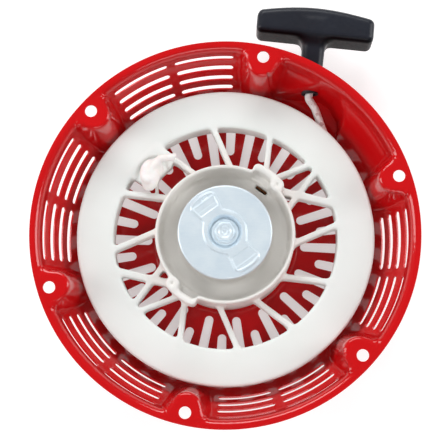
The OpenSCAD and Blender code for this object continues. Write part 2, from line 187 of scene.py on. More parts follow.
def nets(F, lo, h, project=2):
    """surface nets: quads on the zero level of F"""
    F = F.astype(np.float32)
    ins = F < 0
    n = np.array(F.shape)
    cells, pts, quads, flips = [], [], [], []
    for ax in range(3):
        a = [slice(None)] * 3
        b = [slice(None)] * 3
        a[ax], b[ax] = slice(None, -1), slice(1, None)
        idx = np.argwhere(ins[tuple(a)] != ins[tuple(b)])
        o = [k for k in range(3) if k != ax]
        ok = (idx[:, o[0]] > 0) & (idx[:, o[1]] > 0) & (idx[:, o[0]] < n[o[0]] - 1) & (idx[:, o[1]] < n[o[1]] - 1)
        idx = idx[ok]
        e = np.zeros(3, int)
        e[ax] = 1
        f0 = F[tuple(idx.T)]
        f1 = F[tuple((idx + e).T)]
        p = idx.astype(float)
        p[:, ax] += f0 / (f0 - f1)
        u, v = np.zeros(3, int), np.zeros(3, int)
        u[(ax + 1) % 3], v[(ax + 2) % 3] = 1, 1
        ring = [idx - u - v, idx - v, idx, idx - u]
        ids = [(c[:, 0] * n[1] + c[:, 1]) * n[2] + c[:, 2] for c in ring]
        cells += ids
        pts += [p] * 4
        q = np.stack(ids, 1)
        q[f0 >= 0] = q[f0 >= 0][:, ::-1]
        quads.append(q)
    cells = np.concatenate(cells)
    pts = np.concatenate(pts)
    uq, inv = np.unique(cells, return_inverse=True)
    cnt = np.bincount(inv)
    V = np.stack([np.bincount(inv, pts[:, k]) / cnt for k in range(3)], 1)
    Q = np.searchsorted(uq, np.concatenate(quads))
    for _ in range(project):
        i = np.clip(V, 0, n - 2.001)
        j = i.astype(int)
        f = i - j
        val = 0
        g = np.zeros_like(V)
        for dx in (0, 1):
            for dy in (0, 1):
                for dz in (0, 1):
                    c = F[j[:, 0] + dx, j[:, 1] + dy, j[:, 2] + dz]
                    wx = f[:, 0] if dx else 1 - f[:, 0]
                    wy = f[:, 1] if dy else 1 - f[:, 1]
                    wz = f[:, 2] if dz else 1 - f[:, 2]
                    val = val + c * wx * wy * wz
                    g[:, 0] += c * (1 if dx else -1) * wy * wz
                    g[:, 1] += c * (1 if dy else -1) * wx * wz
                    g[:, 2] += c * (1 if dz else -1) * wx * wy
        g2 = (g * g).sum(1) + 1e-6
        st = np.clip(val / g2, -0.6, 0.6)[:, None] * g
        ln = np.linalg.norm(st, axis=1, keepdims=True)
        V = V - st * np.minimum(1, 0.6 / np.maximum(ln, 1e-9))
    return V * h + lo, Q


# ------------------------------------------------------------------ materials
def srgb(r, g, b):
    def c(v):
        v /= 255.0
        return v / 12.92 if v <= 0.04045 else ((v + 0.055) / 1.055) ** 2.4
    return (c(r), c(g), c(b), 1.0)


class Mat:
    def __init__(self, name, **kw):
        self.m = bpy.data.materials.new(name)
        self.m.use_nodes = True
        self.t = self.m.node_tree
        self.n = self.t.nodes
        self.b = self.n["Principled BSDF"]
        for k, v in kw.items():
            self.b.inputs[k.replace("_", " ")].default_value = v
        self.co = self.n.new("ShaderNodeTexCoord").outputs["Object"]

    def node(self, kind, _in=None, **kw):
        nd = self.n.new(kind)
        for k, v in kw.items():
            setattr(nd, k, v)
        for k, v in (_in or {}).items():
            if hasattr(v, "is_output"):
                self.t.links.new(v, nd.inputs[k])
            else:
                nd.inputs[k].default_value = v
        return nd

    def noise(self, scale, detail=3.0, rough=0.55, vec=None):
        return self.node("ShaderNodeTexNoise", {"Vector": vec or self.co, "Scale": scale, "Detail": detail, "Roughness": rough}).outputs["Fac"]

    def ramp(self, fac, stops):
        r = self.node("ShaderNodeValToRGB", {"Fac": fac})
        el = r.color_ramp.elements
        while len(el) < len(stops):
            el.new(0.5)
        for e, (p, c) in zip(el, stops):
            e.position = p
            e.color = c if len(c) == 4 else (*c, 1)
        return r.outputs["Color"]

    def math(self, op, a, b=0.0, c=None):
        nd = self.node("ShaderNodeMath", operation=op)
        for i, v in enumerate((a, b, c)):
            if v is None:
                continue
            if hasattr(v, "is_output"):
                self.t.links.new(v, nd.inputs[i])
            else:
                nd.inputs[i].default_value = v
        return nd.outputs[0]

    def mapr(self, v, a, b, c, d):
        return self.node("ShaderNodeMapRange", {"Value": v, "From Min": a, "From Max": b, "To Min": c, "To Max": d}).outputs[0]

    def set(self, sock, v):
        self.t.links.new(v, self.b.inputs[sock])

    def bump(self, h, strength, dist):
        nd = self.node("ShaderNodeBump", {"Height": h, "Strength": strength, "Distance": dist})
        self.set("Normal", nd.outputs[0])
        return nd


def g4(v):
    return (v, v, v, 1)


def make_red():
    M = Mat("red_paint", Roughness=0.22, Coat_Weight=1.0, Coat_Roughness=0.08, Coat_IOR=1.55, IOR=1.4, Specular_IOR_Level=0.1)
    big = M.noise(28, 2)
    M.set("Base Color", M.ramp(big, [(0.35, srgb(203, 7, 13)), (0.65, srgb(209, 10, 16))]))
    fine = M.noise(420, 3)
    M.set("Roughness", M.mapr(fine, 0.3, 0.7, 0.34, 0.44))
    M.bump(M.noise(120, 1), 0.05, 0.0004)
    return M.m


def make_white():
    M = Mat("white_nylon", Roughness=0.5, IOR=1.5, Subsurface_Weight=0.12, Subsurface_Scale=0.002)
    M.b.inputs["Subsurface Radius"].default_value = (1.0, 1.0, 1.0)
    big = M.noise(22, 3)
    # warmer towards the hub
    flat = M.node("ShaderNodeVectorMath", {0: M.co, 1: (1, 1, 0)}, operation="MULTIPLY").outputs[0]
    rad_ = M.node("ShaderNodeVectorMath", {0: flat}, operation="LENGTH").outputs["Value"]
    far = M.mapr(rad_, 0.040, 0.062, 0.0, 1.0)
    inner = M.ramp(big, [(0.3, srgb(234, 232, 228)), (0.7, srgb(239, 237, 233))])
    outer = M.ramp(big, [(0.3, srgb(233, 239, 236)), (0.7, srgb(238, 243, 241))])
    mix = M.node("ShaderNodeMix", {0: far, 6: inner, 7: outer}, data_type="RGBA")
    M.set("Base Color", mix.outputs[2])
    M.set("Roughness", M.mapr(M.noise(160, 3), 0.3, 0.7, 0.42, 0.56))
    M.bump(M.noise(900, 3), 0.08, 0.0002)
    return M.m


def make_zinc():
    M = Mat("zinc_plate", Metallic=0.25, Roughness=0.3)
    sep = M.node("ShaderNodeMapping", {"Vector": M.co, "Scale": (1.0, 14.0, 1.0)}).outputs[0]
    brush = M.noise(260, 4, 0.6, sep)
    mot = M.noise(70, 4, 0.6)
    mix = M.math("ADD", M.math("MULTIPLY", brush, 0.35), M.math("MULTIPLY", mot, 0.65))
    M.set("Base Color", M.ramp(mix, [(0.3, srgb(218, 234, 246)), (0.7, srgb(236, 247, 253))]))
    M.set("Roughness", M.mapr(mix, 0.3, 0.7, 0.30, 0.42))
    M.bump(mix, 0.06, 0.0002)
    return M.m


def make_steel(name="steel", col=(196, 199, 204), rough=0.32):
    M = Mat(name, Metallic=1.0, Roughness=rough)
    mot = M.noise(120, 4, 0.6)
    c0 = srgb(*[max(0, c - 16) for c in col])
    M.set("Base Color", M.ramp(mot, [(0.3, c0), (0.7, srgb(*col))]))
    M.set("Roughness", M.mapr(mot, 0.3, 0.7, rough - 0.05, rough + 0.10))
    M.bump(M.noise(700, 3), 0.08, 0.0002)
    return M.m


def make_dark():
    M = Mat("dark_plastic", Roughness=0.5)
    M.set("Base Color", M.ramp(M.noise(150, 3), [(0.3, srgb(34, 34, 37)), (0.7, srgb(44, 44, 47))]))
    M.bump(M.noise(1200, 2), 0.2, 0.0002)
    return M.m


def make_grip():
    M = Mat("grip_black", Roughness=0.3, IOR=1.5, Specular_IOR_Level=0.3)
    n = M.noise(60, 3)
    # painted shade: faces turned towards -Y, under the bar, get a near-black base colour and less specular, standing
    # in for the shade there
    nrm = M.n.new("ShaderNodeTexCoord").outputs["Normal"]
    ny = M.node("ShaderNodeSeparateXYZ", {0: nrm}).outputs["Y"]
    underside_shade = M.mapr(ny, -0.8, -0.2, 0.0, 1.0)
    M.set("Specular IOR Level", M.mapr(underside_shade, 0.0, 1.0, 0.04, 0.3))
    top = M.ramp(n, [(0.3, srgb(32, 34, 42)), (0.7, srgb(36, 39, 48))])
    mix = M.node("ShaderNodeMix", {0: underside_shade, 6: srgb(9, 10, 12), 7: top}, data_type="RGBA")
    M.set("Base Color", mix.outputs[2])
    M.set("Roughness", M.mapr(M.noise(500, 3), 0.3, 0.7, 0.32, 0.42))
    M.bump(M.noise(1800, 2), 0.12, 0.00012)
    return M.m


def make_rope():
    M = Mat("rope_braid", Roughness=0.82, Sheen_Weight=0.25, Sheen_Roughness=0.5)
    v = M.node("ShaderNodeTexVoronoi", {"Vector": M.co, "Scale": 950.0, "Randomness": 0.85})
    fleck = M.node("ShaderNodeTexVoronoi", {"Vector": M.co, "Scale": 430.0, "Randomness": 1.0})
    f = M.ramp(M.node("ShaderNodeSeparateColor", {"Color": fleck.outputs["Color"]}).outputs[0],
               [(0.0, srgb(196, 170, 168)), (0.14, srgb(208, 188, 186)), (0.2, srgb(238, 232, 230)), (1.0, srgb(244, 240, 238))])
    M.set("Base Color", f)
    M.bump(M.math("MULTIPLY", v.outputs["Distance"], -1.0), 0.8, 0.0004)
    return M.m


RED, WHITE, ZINC = make_red(), make_white(), make_zinc()
STEEL, DARK, GRIP, ROPE = make_steel(), make_dark(), make_grip(), make_rope()
BRONZE = make_steel("bronze", (196, 150, 92), 0.4)
SPRING = make_steel("spring_steel", (142, 96, 66), 0.38)
looks = {"red_paint": RED, "white_nylon": WHITE, "zinc_plate": ZINC, "steel": STEEL, "bronze": BRONZE,
         "spring_steel": SPRING, "dark_plastic": DARK, "rope": ROPE, "grip_black": GRIP}
for sp in frame["record"]["subparts"]:
    ob = frame["nodes"][sp["node"]]
    if not ob.material_slots:
        ob.data.materials.append(None)
    for s in ob.material_slots:
        s.link = "OBJECT"
        s.material = looks[sp["material_slot"]]


# ------------------------------------------------------------------ housing
BOLT_A = [17.7 + 60 * i for i in range(6)]
cone = lambda z: 103.2 + (z + 11.4) * 0.4747


def profile():
    """inside of the bowl from the centre out, (r, z), densely sampled and smoothed"""
    nodes = [(0, -50), (37.5, -50), (39.2, -50.4), (41, -52.2), (42.8, -53), (74, -53), (77, -52.8), (80, -52.0), (82.8, -50.4), (85.2, -48.0),
             (87.0, -45.2), (cone(-42.5), -42.5), (cone(-15), -15), (103, -11.8), (103.7, -8.6), (104.1, -5.5), (104.45, -3.2), (105.1, -1.5),
             (106.1, -0.45), (107.4, 0), (109.6, 0), (110, -0.15)]
    p = np.array(nodes, float)
    d = np.r_[0, np.cumsum(np.hypot(*np.diff(p, axis=0).T))]
    s = np.arange(0, d[-1], 0.25)
    r, z = np.interp(s, d, p[:, 0]), np.interp(s, d, p[:, 1])
    k = np.exp(-0.5 * (np.arange(-8, 9) / 3.4) ** 2)
    k /= k.sum()
    for _ in range(1):
        r2 = np.convolve(np.pad(r, 8, mode="reflect", reflect_type="odd"), k, "valid")
        z2 = np.convolve(np.pad(z, 8, mode="reflect", reflect_type="odd"), k, "valid")
        r, z = r2, z2
    r[-1], z[-1] = 110, -0.15
    r = np.maximum.accumulate(r + np.arange(len(r)) * 1e-7)
    s = np.r_[0, np.cumsum(np.hypot(np.diff(r), np.diff(z)))]
    return s, r, z


PS, PR, PZ = profile()
S_MAX = PS[-1]
PK_K = 9.0
pk_line = lambda x: 89.07 - 0.092 * (x - 49.6)
POCKET = [(24, pk_line(24)), (60.2, pk_line(60.2)), (62.2, 87.0), (64.0, 84.4), (67.6, 78.6), (70.9, 72.4), (71.2, 66.0), (68.5, 58.0), (50, 48), (24, 60)]


def lobe_dist(x, y, a):
    """distance outside the flange with one bolt lobe run into it, and the plain flange's own"""
    c = pol(99.8, a)
    d = np.hypot(x - c[0], y - c[1]) - 8.5
    fl = 104.9 - np.hypot(x, y)
    return smin(d, fl, 10.0), fl


def wall_z(x, y, zb):
    """height of the pressed sheet at a plan point, from the plain bowl's height zb"""
    z = zb
    r = np.hypot(x, y)
    ang = np.degrees(np.arctan2(y, x))
    for a in BOLT_A:
        dl, fl = lobe_dist(x, y, a)
        near = np.abs((ang - a + 180) % 360 - 180) < 17
        R = 2.4
        zl = np.where(dl < -R, 0.0, np.where(dl < 0, -R + np.sqrt(np.clip(R * R - (np.clip(dl, -R, 0) + R) ** 2, 0, None)), -R - 8.0 * np.maximum(dl, 0)))
        w = np.clip((fl - dl - 0.02) / 1.5, 0, 1)
        w = w * w * (3 - 2 * w)
        k = np.clip(-0.6 * np.maximum(z, zl), 0.01, 9.0)
        z = np.where(near, z + w * (np.minimum(smax(z, zl, k), 0) - z), z)
    # rope pocket
    m = (x > 20) & (x < 76) & (y > 46) & (y < 96)
    di = np.full(np.shape(x), -9.0)
    di[m] = -poly2(x[m], y[m], POCKET)
    di = np.minimum(di, (104.3 - r) * 1.3)
    zp = np.where(di > 0, np.maximum(-PK_K * di, -41.0), 60.0 * -di)
    k = np.clip(-0.7 * np.minimum(z, zp), 0.01, 9.0)
    z = np.where(m, smin(z, zp, k), z)
    return z


def to_param(x, y):
    r = np.hypot(x, y)
    s = np.interp(r, PR, PS)
    f = s / np.maximum(r, 1e-9)
    return x * f, y * f


def from_param(X, Y):
    s = np.hypot(X, Y)
    r = np.interp(s, PS, PR)
    f = r / np.maximum(s, 1e-9)
    x, y = X * f, Y * f
    return x, y, wall_z(x, y, np.interp(s, PS, PZ))


def in_poly(px, py, loop):
    ins = np.zeros(len(px), bool)
    a = np.asarray(loop)
    b = np.roll(a, -1, 0)
    for (x0, y0), (x1, y1) in zip(a, b):
        if y0 != y1:
            c = (y0 > py) != (y1 > py)
            ins ^= c & (px < x0 + (py - y0) * (x1 - x0) / (y1 - y0))
    return ins


def near_loop(px, py, loop, dist):
    """mask of points closer than dist to a closed loop"""
    a = np.asarray(loop)
    lo, hi = a.min(0) - dist, a.max(0) + dist
    m = (px > lo[0]) & (px < hi[0]) & (py > lo[1]) & (py < hi[1])
    idx = np.where(m)[0]
    if len(idx) == 0:
        return np.zeros(len(px), bool)
    dmin = np.full(len(idx), 1e9)
    for p, q in zip(a, np.roll(a, -1, 0)):
        dmin = np.minimum(dmin, seg2(px[idx], py[idx], p, q))
    out = np.zeros(len(px), bool)
    out[idx] = dmin < dist
    return out


def sheet_mesh(outer, holes, pts, mapper, thick, keep=0.5):
    """triangulates a pierced sheet in its flat pattern, maps it into space and gives it thickness"""
    px, py = pts[:, 0], pts[:, 1]
    ok = in_poly(px, py, outer) & ~near_loop(px, py, outer, keep)
    for h in holes:
        ok &= ~near_loop(px, py, h, keep) & ~in_poly(px, py, h)
    pts = pts[ok]
    verts = [tuple(p) for p in pts]
    edges = []
    for loop in [outer] + list(holes):
        b = len(verts)
        verts += [tuple(p) for p in loop]
        edges += [(b + i, b + (i + 1) % len(loop)) for i in range(len(loop))]
    V, E, F, ov, oe, of = delaunay_2d_cdt([Vector(v) for v in verts], edges, [], 0, 1e-6)
    V = np.array([(v.x, v.y) for v in V])
    T = np.array([f for f in F if len(f) == 3])
    c = V[T].mean(1)
    ok = in_poly(c[:, 0], c[:, 1], outer)
    for h in holes:
        ok &= ~in_poly(c[:, 0], c[:, 1], h)
    T = T[ok]
    a, b, d = V[T[:, 0]], V[T[:, 1]], V[T[:, 2]]
    area = (b[:, 0] - a[:, 0]) * (d[:, 1] - a[:, 1]) - (b[:, 1] - a[:, 1]) * (d[:, 0] - a[:, 0])
    T = T[np.abs(area) > 1e-7]
    area = area[np.abs(area) > 1e-7]
    T[area < 0] = T[area < 0][:, ::-1]
    used, inv = np.unique(T, return_inverse=True)
    V, T = V[used], inv.reshape(-1, 3)
    P = np.stack(mapper(V[:, 0], V[:, 1]), 1)
    n = np.zeros_like(P)
    fn = np.cross(P[T[:, 1]] - P[T[:, 0]], P[T[:, 2]] - P[T[:, 0]])
    for k in range(3):
        np.add.at(n, T[:, k], fn)
    n /= np.linalg.norm(n, axis=1, keepdims=True) + 1e-12
    # boundary edges
    e = np.sort(np.concatenate([T[:, [0, 1]], T[:, [1, 2]], T[:, [2, 0]]]), 1)
    d = np.concatenate([T[:, [0, 1]], T[:, [1, 2]], T[:, [2, 0]]])
    key = e[:, 0].astype(np.int64) * len(P) + e[:, 1]
    uq, idx, cnt = np.unique(key, return_index=True, return_counts=True)
    B = d[idx[cnt == 1]]
    N = len(P)
    # edge direction outwards, for a small rounding of the cut edge
    out = np.zeros_like(P)
    ev = P[B[:, 1]] - P[B[:, 0]]
    o = np.cross(ev, (n[B[:, 0]] + n[B[:, 1]]) / 2)
    np.add.at(out, B[:, 0], o)
    np.add.at(out, B[:, 1], o)
    out /= np.linalg.norm(out, axis=1, keepdims=True) + 1e-12
    bv = np.unique(B)
    m = np.full(N, -1)
    m[bv] = np.arange(len(bv))
    rnd = 0.16
    top = P.copy()
    top[bv] -= out[bv] * rnd
    bot = P - n * thick
    bot[bv] -= out[bv] * rnd
    mid1 = P[bv] - n[bv] * rnd
    mid2 = P[bv] - n[bv] * (thick - rnd)
    allv = np.concatenate([top, bot, mid1, mid2])
    faces = [tuple(t) for t in T] + [tuple(t[::-1] + N) for t in T]
    o1, o2 = 2 * N, 2 * N + len(bv)
    for a, b in B:
        ia, ib = m[a], m[b]
        faces.append((b, a, o1 + ia, o1 + ib))
        faces.append((o1 + ib, o1 + ia, o2 + ia, o2 + ib))
        faces.append((o2 + ib, o2 + ia, a + N, b + N))
    return allv, faces


def circle(cx, cy, r, n):
    return np.array([(cx + r * math.cos(2 * math.pi * i / n), cy + r * math.sin(2 * math.pi * i / n)) for i in range(n)])


def hexes(R, h):
    ys = np.arange(-R, R + h, h * 0.8660254)
    out = []
    for j, y in enumerate(ys):
        xs = np.arange(-R, R + h, h) + (h / 2 if j % 2 else 0)
        out.append(np.stack([xs, np.full(len(xs), y)], 1))
    p = np.concatenate(out)
    return p[np.hypot(p[:, 0], p[:, 1]) < R]


def build_housing():
    outer = circle(0, 0, S_MAX, 720)
    holes = []
    # wall vents
    rows = [-11.4 - 7.9 * i for i in range(4)]
    for z in rows:
        r = cone(z)
        s = np.interp(r, PR, PS)
        for i in range(1, 6):
            for m in (-1, 1):
                a0, a1 = sorted((m * 1.35, m * 20.3))
                c = BOLT_A[0] + 30 + 60 * i
                hw = 1.95
                g = deg(hw / r)  # end rounding in degrees
                b0, b1 = c + a0 + g * 0.75, c + a1 - g * 0.75
                lp = []
                for a in np.linspace(b0, b1, 22):
                    lp.append((s + hw, a))
                for t in np.linspace(90, -90, 9)[1:-1]:
                    lp.append((s + hw * math.sin(rad(t)), b1 + g * math.cos(rad(t)) * 0.8))
                for a in np.linspace(b1, b0, 22):
                    lp.append((s - hw, a))
                for t in np.linspace(-90, 90, 9)[1:-1]:
                    lp.append((s + hw * math.sin(rad(t)), b0 - g * math.cos(rad(t)) * 0.8))
                holes.append(np.array([(q * math.cos(rad(a)), q * math.sin(rad(a))) for q, a in lp]))
    # radial vents
    for i in range(18):
        for r0, w0, r1, w1, off in ((46.8, 2.55, 70.2, 2.95, 0), (56.7, 2.55, 70.4, 2.9, 10)):
            a = 17.5 + 20 * i + off
            lp = [(r1 + w1 * math.cos(rad(t)), w1 * math.sin(rad(t))) for t in np.linspace(-90, 90, 9)]
            lp += [(r1 + (r0 - r1) * k, w1 + (w0 - w1) * k) for k in np.linspace(0, 1, 12)[1:-1]]
            lp += [(r0 - w0 * math.cos(rad(t)), w0 * math.sin(rad(t))) for t in np.linspace(90, -90, 9)]
            lp += [(r1 + (r0 - r1) * k, -(w1 + (w0 - w1) * k)) for k in np.linspace(1, 0, 12)[1:-1]]
            ca, sa = math.cos(rad(a)), math.sin(rad(a))
            f = np.interp(50, PR, PS) / 50
            lp = [(x, y) for x, y in lp]
            pp = []
            for x, y in lp:
                X, Y = x * ca - y * sa, x * sa + y * ca
                pp.append(to_param(X, Y))
            holes.append(np.array(pp, float))
    # bolt holes
    for a in BOLT_A:
        c = pol(103, a)
        q = circle(c[0], c[1], 3.4, 32)
        holes.append(np.stack(to_param(q[:, 0], q[:, 1]), 1))
    # rope outlet
    lp = []
    for t in range(32):
        x = 49.6 + 4.9 * math.cos(2 * math.pi * t / 32)
        z = -27.6 + 4.9 * math.sin(2 * math.pi * t / 32)
        lp.append((x, pk_line(x) + z / PK_K))
    q = np.array(lp)
    holes.append(np.stack(to_param(q[:, 0], q[:, 1]), 1))
    holes.append(circle(0, 0, 6.1, 48))
    # points: even cover, and close rows where the sheet turns steep
    pts = hexes(S_MAX, 1.7)
    x, y, z = from_param(pts[:, 0], pts[:, 1])
    extra = []
    drop = np.zeros(len(pts), bool)
    for a in BOLT_A:
        c = pol(99.8, a)
        # an even, close net of points round the lobe's edge
        g = hexes(34, 0.62)
        X, Y = g[:, 0] + c[0] * 0.985, g[:, 1] + c[1] * 0.985
        cur, fl = lobe_dist(X, Y, a)
        rg = np.hypot(X, Y)
        okk = (np.abs((np.degrees(np.arctan2(Y, X)) - a + 180) % 360 - 180) < 15) & (cur > -3.4) & (cur < 7.5) & (rg < 104.7) & (rg > 86.5) & (fl - cur > 0.05)
        extra.append(np.stack(to_param(X[okk], Y[okk]), 1))
        cur, fl = lobe_dist(x, y, a)
        near = np.abs((np.degrees(np.arctan2(y, x)) - a + 180) % 360 - 180) < 15
        drop |= near & (cur > -3.6) & (cur < 7.6) & (np.hypot(x, y) < 104.9) & (np.hypot(x, y) > 86.3) & (fl - cur > 0.05)
    # the flange's inner bend gets its own close rows
    ring_r = np.r_[102.2, 102.8, 103.3, 103.65, 103.9, 104.1, 104.3, 104.5, 104.75, 105.0, 105.3, 105.7, 106.1, 106.6, 107.2, 107.9, 108.7]
    rp = np.hypot(x, y)
    drop |= (rp > 101.9) & (rp < 109.2)
    for q in ring_r:
        t = np.radians(np.arange(0, 360, 0.62 if q < 106 else 0.8))
        X, Y = q * np.cos(t), q * np.sin(t)
        far = np.ones(len(t), bool)
        for a in BOLT_A:
            cur, fl = lobe_dist(X, Y, a)
            far &= ~((np.abs((np.degrees(t) - a + 180) % 360 - 180) < 16) & (fl - cur > 0.05) & (q < 104.7))
        extra.append(np.stack(to_param(X[far], Y[far]), 1))
    # rows down the pocket's walls
    g = hexes(40, 0.62)
    X, Y = g[:, 0] + 52, g[:, 1] + 76
    inn = -poly2(X, Y, POCKET)
    rr = np.hypot(X, Y)
    lob = np.zeros(len(X), bool)
    for a in BOLT_A:
        cur, fl = lobe_dist(X, Y, a)
        lob |= (cur < 7.5) & (fl - cur > 0.05)
    okk = (inn > -2.4) & (inn < 6.0) & (rr < 101.8) & (rr > 88) & ~lob
    extra.append(np.stack(to_param(X[okk], Y[okk]), 1))
    mm = (x > 20) & (x < 76) & (y > 46) & (y < 96)
    di = np.full(len(x), -9.0)
    di[mm] = -poly2(x[mm], y[mm], POCKET)
    drop |= (di > -2.5) & (di < 6.1) & (rp < 101.9) & (rp > 88)
    pts = np.concatenate([pts[~drop]] + extra)
    # thin out points that ended up too close
    key = np.round(pts / 0.3).astype(int)
    _, first = np.unique(key, axis=0, return_index=True)
    pts = pts[np.sort(first)]
    v, f = sheet_mesh(outer, holes, pts, from_param, 1.2, keep=0.35)
    return link("housing_shell", v, f, "housing", RED, 34, ["housing"])


build_housing()


# ------------------------------------------------------------------ reel
def sect(F, rm, hw, am, ha, rnd=1.5):
    """rounded ring sector as a flat distance field"""
    da = np.abs((F.A2 - am + 180) % 360 - 180)
    u = np.abs(F.R2 - rm) - hw + rnd
    v = np.radians(da - ha) * F.R2 + rnd
    v = np.where(da > 90, 99.0, v)
    return np.minimum(np.maximum(u, v), 0) + np.hypot(np.maximum(u, 0), np.maximum(v, 0)) - rnd


def build_reel():
    F = Field((-86, -86, -49.4), (86, 86, -5.6), 0.62)
    X, Y, Z = F.X, F.Y, F.Z
    rim = F.turn([(64.5, -38), (85.6, -38), (86, -37.4), (86, -36.1), (85.6, -35.5), (66.2, -35.5), (66.2, -25), (85.4, -25), (86, -24.4),
                  (86, -22.9), (85.2, -22.15), (83, -22), (67.5, -22), (65.4, -22.15), (64.5, -22.9)])
    hub = F.turn([(39.9, -9.3), (40, -49.4), (36.6, -49.4), (36.6, -33), (25, -33), (22.8, -30), (22.8, -18), (13, -18), (13, -34), (10.2, -34),
                  (10.2, -12), (25.5, -12), (25.5, -26.5), (26.2, -28.6), (28, -29.8), (34, -30), (36, -29.2), (37, -27), (37.7, -12), (38.0, -9.4), (38.6, -9), (39.5, -9)])
    wall = F.turn([(25.45, -12.5), (22.4, -12.5), (22.4, -5.6), (25.45, -5.6)])
    hub = smin(hub, wall, 0.6)
    sp = np.full(F.X2.shape, 1e9)
    for i in range(12):
        sp = np.minimum(sp, seg2(F.X2, F.Y2, pol(38.6, -6.2 + 30 * i), pol(66, 6.6 + 30 * i)) - 1.65)
    st = np.full(F.X2.shape, 1e9)
    for h in (0, 180):
        st = np.minimum(st, seg2(F.X2, F.Y2, pol(40, 43.5 + h), pol(66, 17.2 + h)) - 2.1)
        st = np.minimum(st, seg2(F.X2, F.Y2, pol(39, 55.5 + h), pol(66, 40.6 + h)) - 1.45)
    sp2 = smin(sp, st, 1.4)
    zt = -22 + np.clip((F.R2 - 52) / 14, -1, 1) * 0.0
    spokes = slab(F.flat(sp2), Z, -33, -22, 0.55)
    body = smin(rim, spokes, 2.2)
    body = np.where(F.flat(F.R2) > 45.6, smax(body, Z + 22.0, 0.5), body)
    # web the rope's knot rests on, with a shallow seat and a rib beside it
    web = slab(F.flat(sect(F, 59.5, 7.6, 136.2, 10.8, 2.6)), Z, -33, -22.3, 0.7)
    body = smin(body, web, 2.4)
    seat = np.hypot((F.X2 + 42.5) * 0.80 + (F.Y2 - 38.0) * -0.60, ((F.X2 + 42.5) * 0.60 + (F.Y2 - 38.0) * 0.80) * 0.8) - 8.2
    body = smax(body, -slab(F.flat(seat), Z, -24.0, -10, 0.3), 0.8)
    rib = seg2(F.X2, F.Y2, (-39.6, 23.0), (-40.4, 33.0)) - 0.85
    body = smin(body, slab(F.flat(rib), Z, -33, -23.2, 0.5), 1.0)
    body = smin(body, hub, 2.6)
    for h in (0, 180):
        bulge = sect(F, 41.4, 3.6, 56.0 + h, 11.2, 3.0)
        body = smin(body, slab(F.flat(bulge), Z, -24.5, -9, 0.5), 1.2)
        c = pol(41, 43.4 + h)
        body = smin(body, slab(F.flat(np.hypot(F.X2 - c[0], F.Y2 - c[1]) - 3.8), Z, -25, -8.9, 0.4), 1.6)
    for h in (0, 180):
        cut = sect(F, 38.4, 2.6, 57.2 + h, 8.2, 2.4)
        body = smax(body, -slab(F.flat(cut), Z, -22.8, 5, 0.3), 2.4)
        c = pol(41, 43.4 + h)
        body = smax(body, -slab(F.flat(np.hypot(F.X2 - c[0], F.Y2 - c[1]) - 0.9), Z, -10.2, 5, 0), 0.6)
        # windows the ratchets swing through, and their pin holes
        p = pol(17.5, 20 + h)
        w = np.hypot(F.X2 - p[0], F.Y2 - p[1]) - 5.9
        for k in range(11):
            a = rad(21 + h - 27 * k / 10)
            d0 = np.array([-7, 22]) / math.hypot(7, 22)
            d = np.array([d0[0] * math.cos(a) - d0[1] * math.sin(a), d0[0] * math.sin(a) + d0[1] * math.cos(a)])
            q = pol(17.5, 20 + h)
            w = np.minimum(w, seg2(F.X2, F.Y2, q, q + d * 20) - 4.3)
        body = np.maximum(body, -slab(F.flat(w), Z, -12.4, 3, 0))
        body = np.maximum(body, -slab(F.flat(np.hypot(F.X2 - p[0], F.Y2 - p[1]) - 2.6), Z, -20, 0, 0))
        body = np.maximum(body, -slab(F.flat(np.hypot(F.X2 - p[0], F.Y2 - p[1]) - 5.0), Z, -15.2, 0, 0))
    # slot that takes the spring's outer end
    ca, sa = math.cos(rad(54)), math.sin(rad(54))
    u, v = F.X2 * ca + F.Y2 * sa, -F.X2 * sa + F.Y2 * ca
    slot = np.maximum(np.abs(u - 35.4) - 1.05, np.abs(v) - 3.9)
    body = np.maximum(body, -slab(F.flat(slot), Z, -34, -27, 0.2))
    # hole in the drum for the rope's inner end
    a, b = np.array([*pol(60, 134.5), -27.6]), np.array([*pol(69, 144.4), -27.6])
    d = b - a
    t = np.clip(((X - a[0]) * d[0] + (Y - a[1]) * d[1]) / (d @ d), -0.2, 1.05)
    body = smax(body, -(np.sqrt((X - a[0] - t * d[0]) ** 2 + (Y - a[1] - t * d[1]) ** 2 + (Z - a[2]) ** 2) - 2.8), 1.0)
    body = smax(body, -slab(F.flat(np.hypot(F.X2 + 40.0, F.Y2 - 42.4) - 2.9), Z, -27.4, 0, 0), 0.8)
    V, Q = nets(blur(body, 1), F.lo, F.h)
    ob = link("reel_moulding", V, Q, "reel", WHITE, 42, ["reel", "reel_hub"] if "reel_hub" in frame["nodes"] else ["reel"])
    m = ob.modifiers.new("d", "DECIMATE")
    m.ratio = 0.34
    apply_mods(ob)
    ob.data.polygons.foreach_set("use_smooth", np.ones(len(ob.data.polygons), bool))
    ob.data.set_sharp_from_angle(angle=rad(42))
    return ob


build_reel()


